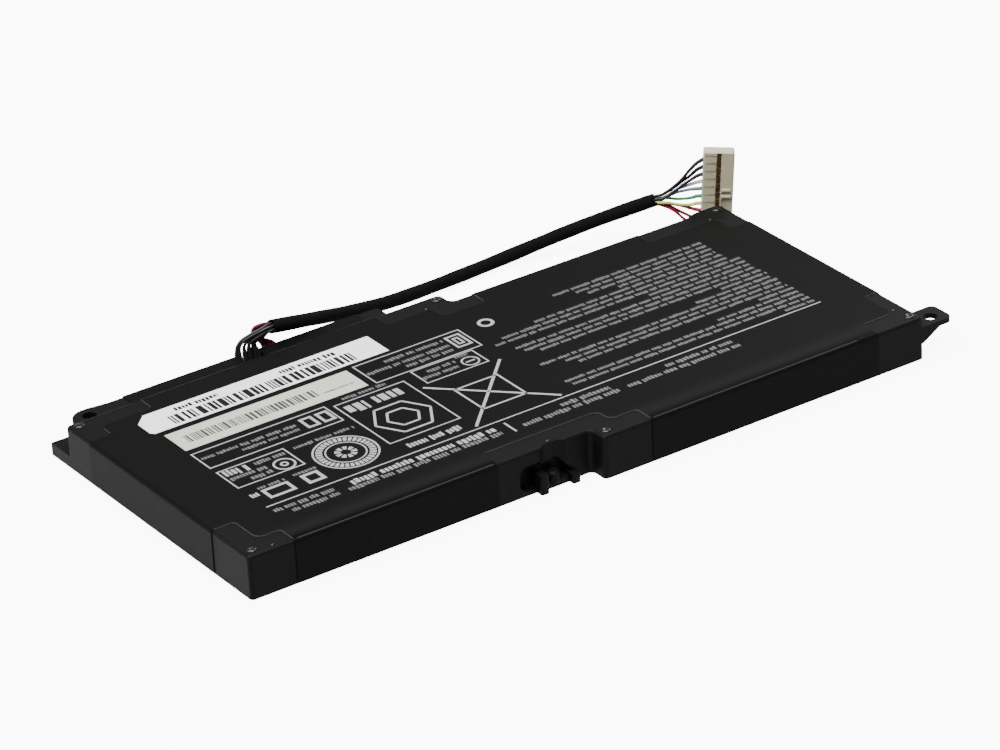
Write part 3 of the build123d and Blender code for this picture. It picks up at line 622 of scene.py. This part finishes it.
def make_wires():
    """Ten insulated wires from the board through the sleeve to the contacts."""
    start_axes = end_axes(SLEEVE[0], SLEEVE[1])
    stop_axes = end_axes(SLEEVE[-2], SLEEVE[-1])
    wires = []
    for index, (colour, (root, first), (tail, last)) in enumerate(zip(WIRES, root_routes(), tail_routes())):
        middle = []
        for step, place in enumerate(SLEEVE[1:-1], start=1):
            share = step / (len(SLEEVE) - 1)
            side = start_axes[1].lerp(stop_axes[1], share)
            up = start_axes[2].lerp(stop_axes[2], share)
            a = first[0] * (1 - share) + last[0] * share
            b = first[1] * (1 - share) + last[1] * share
            middle.append(Vector(place) + side * a * BUNDLE_SQUEEZE + up * b * BUNDLE_SQUEEZE)
        name = f"wire_{index + 1:02d}_{colour}"
        curve = nurbs(name + "_run", root + middle + tail, WIRE_RADIUS, swells=SWELLS)
        obj = piece(name + "_run", curve, wire_skins[colour])
        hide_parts(name)
        wires.append((obj, root[0]))
    return wires


make_sleeve()
runs = make_wires()

# Print: plain bars, boxes, rings and strokes


class Print:
    """Flat shapes on one plane, gathered into one mesh."""

    def __init__(self, height):
        self.build = bmesh.new()
        self.height = height

    def stroke(self, start, stop, width):
        """A straight bar between two points."""
        one = Vector(start)
        run = Vector(stop) - one
        middle = one + run / 2
        turn = Matrix.Rotation(run.to_3d().xy.angle_signed(Vector((1, 0))), 4, "Z")
        size = Matrix.Diagonal((run.length * 0.001, width * 0.001, 1, 1))
        place = Matrix.Translation(at(middle.x, middle.y, self.height))
        bmesh.ops.create_grid(self.build, x_segments=1, y_segments=1, size=0.5, matrix=place @ turn @ size)

    def bar(self, x0, x1, y0, y1):
        """An upright rectangle between two corners."""
        middle = (y0 + y1) / 2
        self.stroke((x0, middle), (x1, middle), y1 - y0)

    def box(self, x0, x1, y0, y1, width):
        """An empty box drawn with four bars."""
        self.bar(x0, x1, y0, y0 + width)
        self.bar(x0, x1, y1 - width, y1)
        self.bar(x0, x0 + width, y0 + width, y1 - width)
        self.bar(x1 - width, x1, y0 + width, y1 - width)

    def ring(self, x, y, outer, inner, parts=48, gap=0.0):
        """A ring of arcs with gaps between them, or a whole ring where there is no gap."""
        arcs = parts if gap else 1
        steps = 1 if gap else parts
        for index in range(arcs):
            start = 2 * pi * (index + gap) / arcs
            spoke = [self.build.verts.new(at(x + radius * cos(start), y + radius * sin(start), self.height))
                     for radius in (inner, outer)]
            edge = self.build.edges.new(spoke)
            bmesh.ops.spin(self.build, geom=spoke + [edge], cent=at(x, y, self.height), axis=(0, 0, 1),
                           angle=2 * pi * (1 - gap) / arcs, steps=steps, use_merge=not gap)

    def dashes(self, x0, x1, y, height, pitch=1.0):
        """A row of short plain blocks in groups, which stands for a line of small print."""
        x = x0
        while x < x1 - 0.3 * pitch:
            group_end = min(x1, x + chance.uniform(1.6, 6.5) * pitch)
            while x < group_end - 0.2 * pitch:
                wide = min(chance.uniform(0.38, 0.7) * pitch, group_end - x)
                low = y - height / 2 - chance.choice((0.0, 0.0, 0.0, 0.22)) * height
                high = y + height / 2 + chance.choice((0.0, 0.0, 0.0, 0.0, 0.2)) * height
                self.bar(x, x + wide, low, high)
                x += wide + 0.22 * pitch
            x += 0.55 * pitch

    def piece(self, name, material, slot):
        """The gathered shapes as one piece, all facing up."""
        bmesh.ops.remove_doubles(self.build, verts=self.build.verts, dist=1e-8)
        down = [face for face in self.build.faces if face.normal.z < 0]
        bmesh.ops.reverse_faces(self.build, faces=down)
        return finished(name, self.build, material)


# Rows of small print on the right: where each row starts, the height of the first and the step to the next
ROW_STARTS = [118.5, 123.5, 125.5, 132.7, 107.7, 97.4, 94.3, 135.5, 97.0, 98.0, 101.0,
              150.0, 141.4, 96.7, 102.2, 104.4, 153.2, 140.0, 96.3, 97.0, 154.5]
ROW_FIRST = 57.6
ROW_STEP = 2.01
SHORT_ROWS = 6
SHORT_STOP = 160.5
LONG_STOP = 162.9


def print_film():
    """The film's print: boxes on the left, rows of dashes on the right, a rule along the near side."""
    art = Print(FILM_TOP + INK_LIFT)
    small = Print(FILM_TOP + INK_LIFT)
    line = 0.36
    art.box(14.0, 48.7, 37.8, 46.1, line)
    small.dashes(14.9, 39.3, 42.7, 0.95)
    small.dashes(24.0, 39.3, 40.6, 0.9)
    art.box(40.6, 43.9, 39.6, 44.4, 0.75)
    art.box(44.8, 48.0, 39.6, 44.4, 0.75)
    art.box(14.0, 31.3, 26.4, 35.6, line)
    art.dashes(15.0, 21.5, 33.5, 2.2, 1.6)
    small.dashes(22.6, 30.3, 33.5, 1.2)
    small.dashes(14.9, 24.3, 30.8, 1.2)
    small.dashes(18.7, 24.2, 28.4, 1.2)
    art.ring(27.7, 29.4, 2.6, 2.1)
    art.ring(27.7, 29.4, 1.0, 0.5, 24)
    small.dashes(33.0, 48.8, 34.0, 0.9)
    art.ring(40.9, 25.3, 7.5, 7.05)
    art.ring(40.9, 25.3, 6.7, 5.2, 34, 0.3)
    art.ring(40.9, 25.3, 4.7, 4.35)
    art.ring(40.9, 25.3, 2.6, 1.2, 9, 0.35)
    art.box(17.2, 24.0, 18.2, 22.6, 0.8)
    small.dashes(17.2, 24.0, 23.6, 0.9)
    art.dashes(14.2, 16.4, 21.5, 1.4)
    art.box(27.1, 31.6, 18.3, 22.7, 0.9)
    small.dashes(26.3, 32.3, 23.8, 0.9)
    art.box(50.2, 69.0, 22.1, 44.9, line)
    art.dashes(51.6, 66.8, 41.4, 3.2, 2.6)
    for turn in range(6):
        a = pi / 3 * turn
        b = pi / 3 * (turn + 1)
        for radius, width in ((7.2, 0.6), (4.0, 0.6)):
            art.stroke((59.6 + radius * cos(a), 31.0 + radius * sin(a)),
                       (59.6 + radius * cos(b), 31.0 + radius * sin(b)), width)
    small.dashes(53.5, 65.6, 46.3, 0.95)
    art.dashes(52.8, 67.0, 18.8, 1.6, 1.3)
    art.box(63.6, 92.3, 47.7, 57.8, line)
    small.dashes(70.6, 86.3, 55.2, 1.1)
    small.dashes(64.4, 86.3, 52.5, 1.1)
    small.dashes(73.3, 86.0, 50.2, 1.1)
    art.box(87.2, 91.3, 50.0, 56.2, 0.6)
    art.box(88.4, 90.1, 51.4, 54.8, 0.5)
    art.box(72.3, 89.1, 40.3, 47.5, line)
    small.dashes(75.4, 83.0, 45.1, 1.1)
    small.dashes(72.9, 83.0, 42.8, 1.1)
    art.ring(85.8, 43.2, 2.2, 1.75)
    art.bar(84.6, 87.0, 42.95, 43.45)
    small.dashes(83.8, 88.2, 46.5, 0.8)
    art.stroke((70.4, 39.3), (92.1, 16.8), 0.7)
    art.stroke((91.3, 39.6), (69.3, 16.8), 0.7)
    art.box(74.9, 86.9, 22.2, 34.2, 0.5)
    art.stroke((14.3, 15.6), (163.3, 15.8), 0.36)
    small.dashes(14.7, 29.8, 13.1, 1.2)
    small.dashes(18.0, 29.8, 10.8, 1.2)
    art.dashes(34.3, 71.8, 13.0, 1.6, 1.5)
    small.dashes(32.3, 72.0, 10.8, 1.3, 1.2)
    art.bar(74.6, 75.1, 9.4, 14.2)
    small.dashes(89.2, 103.2, 12.9, 1.3, 1.2)
    small.dashes(77.6, 103.2, 10.6, 1.3, 1.2)
    small.dashes(117.8, 136.5, 13.1, 1.2, 1.1)
    small.dashes(105.8, 136.6, 10.7, 1.2, 1.1)
    art.ring(99.0, 56.4, 2.0, 1.2, 32)
    for index, start in enumerate(ROW_STARTS):
        stop = SHORT_STOP if index < SHORT_ROWS else LONG_STOP
        small.dashes(start, stop, ROW_FIRST - ROW_STEP * index, 0.9, 0.9)
    art.piece("film_print", ink, "film")
    small.piece("film_small_print", fine_ink, "film")


def print_stickers():
    """Bars and dashes on the two stickers."""
    dark = Print(STICKER_TOP + INK_LIFT)
    x = 19.0
    while x < 66.3:
        wide = chance.choice((0.45, 0.45, 0.7, 0.7, 1.0, 1.5))
        dark.bar(x, x + wide, 60.0, 64.1)
        x += wide + chance.choice((0.3, 0.3, 0.45, 0.6, 0.9))
    dark.dashes(22.2, 33.4, 65.9, 1.3, 1.2)
    dark.dashes(49.6, 65.0, 65.9, 1.3, 1.2)
    dark.piece("barcode_bars", bar_ink, "white_label")
    pale = Print(STICKER_TOP + INK_LIFT)
    x = 17.0
    while x < 51.0:
        wide = chance.choice((0.25, 0.25, 0.4, 0.5, 0.7))
        pale.bar(x, x + wide, 50.7, 54.2)
        x += wide + chance.choice((0.25, 0.3, 0.45, 0.6))
    pale.dashes(52.0, 60.0, 51.2, 0.5, 0.6)
    pale.piece("lot_bars", faded_ink, "cream_label")


print_film()
print_stickers()

# Cut edges of the film: each outline runs with the bare rim on its right, and its corners' radii follow
FILM_CUTS = [
    ([(0.6, 14.7), (5.7, 14.7), (5.7, 5.7), (11.5, 5.7), (11.5, 0.6)], [1.0, 2.0, 1.0]),
    ([(63.3, 0.6), (63.3, 5.7), (93.7, 5.7), (93.7, 0.9), (100.9, 0.9), (100.9, -4.2)],
     [1.0, 2.0, 2.0, 1.0]),
    ([(163.6, -4.2), (163.6, 0.9), (172.4, 0.9), (172.4, 11.4), (176.0, 11.4)], [1.0, 2.0, 1.0]),
    ([(176.0, 59.4), (170.9, 59.4), (170.9, 65.3), (151.6, 65.3), (151.6, 70.3)], [1.0, 2.0, 1.0]),
    ([(105.0, 70.3), (105.0, 65.3), (93.6, 65.3), (93.6, 70.1), (81.3, 70.1), (81.3, 75.1)],
     [1.0, 2.0, 2.0, 1.0]),
    ([(19.0, 75.1), (19.0, 70.1), (5.7, 70.1), (5.7, 65.3), (0.6, 65.3)], [1.0, 2.0, 1.0]),
]
EDGE_OUT = 0.03
EDGE_LIP = 0.14
RIM_LIFT = 0.004
RIM_WIDE = 1.6
RIM_NARROW = 0.9
LIT_SIDE = Vector((-0.52, -0.85))
ARC_STEPS = 8


def rounded(points, radii):
    """Points on an open outline whose square corners become arcs, each with its right-hand side."""
    line = []
    ends = [Vector(point) for point in points]

    def add(place, heading):
        """Adds a place with the side on the right of its heading."""
        line.append((place, Vector((heading.y, -heading.x))))

    add(ends[0], (ends[1] - ends[0]).normalized())
    for before, corner, after, radius in zip(ends, ends[1:], ends[2:], radii):
        into = (corner - before).normalized()
        out = (after - corner).normalized()
        centre = corner - into * radius + out * radius
        for step in range(ARC_STEPS + 1):
            angle = pi / 2 * step / ARC_STEPS
            add(centre - out * radius * cos(angle) + into * radius * sin(angle),
                into * cos(angle) + out * sin(angle))
    add(ends[-1], (ends[-1] - ends[-2]).normalized())
    return line


def rim_widths(line):
    """How far the bare rim's lip reaches from each point: less inside a hollow corner."""
    wides = [RIM_WIDE] * len(line)
    for index in range(1, len(line) - 1):
        turn = line[index - 1][1].cross(line[index + 1][1])
        if turn < -0.01:
            wides[index] = RIM_NARROW
    return wides


def make_film_edges():
    """The film's cut edge with painted highlight: a pale upright face along each cut-out, and a pale lip
    where it meets the light.
    """
    walls = bmesh.new()
    lips = bmesh.new()
    rims = bmesh.new()
    for points, radii in FILM_CUTS:
        line = rounded(points, radii)
        outer = [place + right * EDGE_OUT for place, right in line]
        inner = [place - right * EDGE_LIP for place, right in line]
        foot = [walls.verts.new(at(*place, FRAME_TOP)) for place in outer]
        pull(walls, foot, [at(*place, FILM_TOP + INK_LIFT) for place in outer])
        rim = [lips.verts.new(at(*place, FILM_TOP + INK_LIFT)) for place in outer]
        under = [rims.verts.new(at(*place, FRAME_TOP + RIM_LIFT)) for place in inner]
        wides = rim_widths(line)
        pull(rims, under, [at(*(place + right * wide), FRAME_TOP + RIM_LIFT)
                           for (place, right), wide in zip(line, wides)])
        # The lip is painted highlight, wide only on edges that face the lit side.
        lit = [0.002 + EDGE_LIP * max(0.0, min(1.0, 2.0 * right.dot(LIT_SIDE))) for _, right in line]
        pull(lips, rim, [at(*(place + right * (EDGE_OUT - wide)), FILM_TOP + INK_LIFT)
                         for (place, right), wide in zip(line, lit)])
    for build in (lips, rims):
        bmesh.ops.reverse_faces(build, faces=[face for face in build.faces if face.normal.z < 0])
    finished("film_cut_wall_highlight", walls, film_wall_highlight)
    finished("rim_lip", rims, frame_plastic)
    finished("film_cut_edge_highlight", lips, film_highlight)


make_film_edges()

# Painted highlight on the film's round edge along the near side, where its top turns down
FOLD_RADIUS = 1.0
FOLD_RUNS = [((12.4, 62.5), 0.0), ((101.8, 158.0), -NEAR_STEP)]
FOLD_FROM = radians(58.0)
FOLD_TO = radians(72.0)


def make_fold_highlight():
    """A painted highlight: a narrow pale strip on the film's round edge."""
    build = bmesh.new()
    for (left, right), near in FOLD_RUNS:
        rows = []
        for angle in (FOLD_FROM, FOLD_TO):
            y = near - FILM + FOLD_RADIUS - (FOLD_RADIUS + INK_LIFT) * cos(angle)
            z = FILM_TOP - FOLD_RADIUS + (FOLD_RADIUS + INK_LIFT) * sin(angle)
            rows.append([at(x, y, z) for x in (left, right)])
        pull(build, [build.verts.new(place) for place in rows[0]], rows[1])
    bmesh.ops.reverse_faces(build, faces=[face for face in build.faces if face.normal.z < 0])
    finished("film_fold_highlight", build, film_highlight)


make_fold_highlight()

# Rivet heads and moulding pips on the bare rim
RIVETS = [(2.3, 2.3), (90.3, -2.5), (174.3, -2.5), (174.3, 69.8), (97.0, 73.4), (2.3, 73.4)]
RIVET_PROFILE = [(0.0, 10.72), (0.3, 10.73), (0.55, 10.84), (0.75, 10.88), (0.95, 10.82), (1.12, 10.66),
                 (1.19, 10.49)]
PIPS = [(6.8, 1.4), (77.7, 1.8), (92.5, 71.0), (169.8, 66.2), (173.3, 2.0)]
PIP_PROFILE = [(0.0, 10.78), (0.25, 10.75), (0.42, 10.66), (0.48, 10.49)]
HEAD_STEPS = 32


def make_heads(name, places, profile, material):
    """Round heads turned from one profile."""
    build = bmesh.new()
    for x, y in places:
        chain = [build.verts.new(at(x + radius, y, z)) for radius, z in profile]
        edges = [build.edges.new(pair) for pair in zip(chain, chain[1:])]
        bmesh.ops.spin(build, geom=chain + edges, cent=at(x, y), axis=(0, 0, 1), angle=2 * pi,
                       steps=HEAD_STEPS, use_merge=True)
    bmesh.ops.remove_doubles(build, verts=build.verts, dist=1e-7)
    bmesh.ops.recalc_face_normals(build, faces=build.faces)
    top = max(build.faces, key=lambda face: abs(face.normal.z))
    if top.normal.z < 0:
        bmesh.ops.reverse_faces(build, faces=build.faces)
    return finished(name, build, material, smooth=True)


make_heads("rivet_heads", RIVETS, RIVET_PROFILE, pin_gloss)
make_heads("rim_pips", PIPS, PIP_PROFILE, pin_gloss)

# Plug front: darker rib strips between the ways, painted shade of the grooves, and the dark channel that
# the contacts stand in, a brown plate that is partly the brass's colour and partly painted shade of the
# recess
RIB_FROM = 0.35
RIB_TO = 3.0
RIB_WIDTH = 0.28
RIB_LIFT = 0.06
CHANNEL_FROM = 3.2
CHANNEL_TO = 4.25
CHANNEL_LIFT = 0.05
LEDGE_RISE = 0.22
LEDGE_COVER = 0.95
PLUG_WAYS = 10
PLATE_BEVEL = 0.00001


def plug_plate(build, depth, row, wide, tall, lift):
    """A thin plate on the plug's front, given by its middle and size."""
    axes = Matrix.Identity(4)
    along = (plug_point(1, 0) - plug_point(0, 0)).normalized()
    upward = (plug_point(0, 1) - plug_point(0, 0)).normalized()
    for index, axis in enumerate((along * wide, upward * tall, PLUG_NORMAL * lift)):
        axes.col[index].xyz = axis * 0.001
    place = Matrix.Translation(at(*plug_point(depth, row, lift / 2)))
    bmesh.ops.create_cube(build, size=1.0, matrix=place @ axes)


def make_plug_front():
    """Rib lines of painted shade on the left of the plug's front, and the channel between its windows as a
    dark brown plate, partly brass colour and partly painted shade.
    """
    ribs = bmesh.new()
    channel = bmesh.new()
    for way in range(PLUG_WAYS + 1):
        row = PLUG_END_WALL + PIN_PITCH * way
        plug_plate(ribs, (RIB_FROM + RIB_TO) / 2, row, RIB_TO - RIB_FROM, RIB_WIDTH, RIB_LIFT)
        plug_plate(channel, (CHANNEL_FROM + CHANNEL_TO) / 2, row + LEDGE_RISE, CHANNEL_TO - CHANNEL_FROM,
                   LEDGE_COVER, CHANNEL_LIFT)
    for build in (ribs, channel):
        bmesh.ops.bevel(build, geom=build.edges, offset=PLATE_BEVEL, affect="EDGES", segments=2,
                        profile=0.5, material=-1)
    finished("plug_rib_shade", ribs, rib_shade)
    finished("plug_channel_shade", channel, channel_shade_brown)


make_plug_front()

# Floor and lights
FLOOR_HALF = 6.0
FLOOR_GLOW = 8.0
REFLECTOR_GLOW = 0.9


def make_floor(name, height, glow):
    """A plain white sheet that glows evenly."""
    build = bmesh.new()
    place = Matrix.Translation((0, 0, height))
    bmesh.ops.create_grid(build, x_segments=1, y_segments=1, size=FLOOR_HALF, matrix=place)
    mesh = bpy.data.meshes.new(name)
    build.to_mesh(mesh)
    build.free()
    floor = bpy.data.objects.new(name, mesh)
    bpy.context.scene.collection.objects.link(floor)
    white = surface(name + "_white", grey(0.88), grey(0.9), 0.9, 0.0, 400.0, 0.0)
    shader = white.node_tree.nodes["Principled BSDF"]
    shader.inputs["Emission Color"].default_value = (1.0, 1.0, 1.0, 1.0)
    shader.inputs["Emission Strength"].default_value = glow
    mesh.materials.append(white)
    floor.visible_diffuse = False
    return floor


# The floor is seen by the camera, and the weaker sheet under it is what the pack reflects
make_floor("floor", 0.0, FLOOR_GLOW).visible_glossy = False
make_floor("reflector", -0.002, REFLECTOR_GLOW).visible_camera = False


def lamp(name, place, target, size, energy):
    """A soft square light aimed at a point."""
    light = bpy.data.lights.new(name, "AREA")
    light.shape = "RECTANGLE"
    light.size = size[0]
    light.size_y = size[1]
    light.energy = energy
    obj = bpy.data.objects.new(name, light)
    bpy.context.scene.collection.objects.link(obj)
    obj.location = place
    obj.rotation_euler = (Vector(target) - Vector(place)).to_track_quat("-Z", "Y").to_euler()
    return obj


lamp("overhead", (-0.25, -0.1, 1.3), (0, 0, 0), (1.4, 1.4), 58.0)
lamp("left", (-1.1, 0.5, 0.7), (0, 0, 0), (0.35, 0.35), 7.0)
lamp("right", (1.0, 0.7, 0.9), (0, 0, 0), (0.3, 0.3), 5.0)
world = bpy.data.worlds.new("studio")
world.use_nodes = True
world.node_tree.nodes["Background"].inputs["Color"].default_value = (1.0, 1.0, 1.0, 1.0)
world.node_tree.nodes["Background"].inputs["Strength"].default_value = 0.3
bpy.context.scene.world = world

# Camera: its place is in millimetres from the frame's corner, and its turns are in degrees
CAMERA_PLACE = (-461.45, -805.14, 535.39)
CAMERA_TURNS = (62.3235, 2.7931, -34.6537)
CAMERA_LENS = 183.43
view = bpy.data.cameras.new("view")
view.sensor_width = 36.0
view.lens = CAMERA_LENS
view.clip_start = 0.05
camera = bpy.data.objects.new("view", view)
bpy.context.scene.collection.objects.link(camera)
camera.location = at(*CAMERA_PLACE)
camera.rotation_euler = [radians(turn) for turn in CAMERA_TURNS]
bpy.context.scene.camera = camera
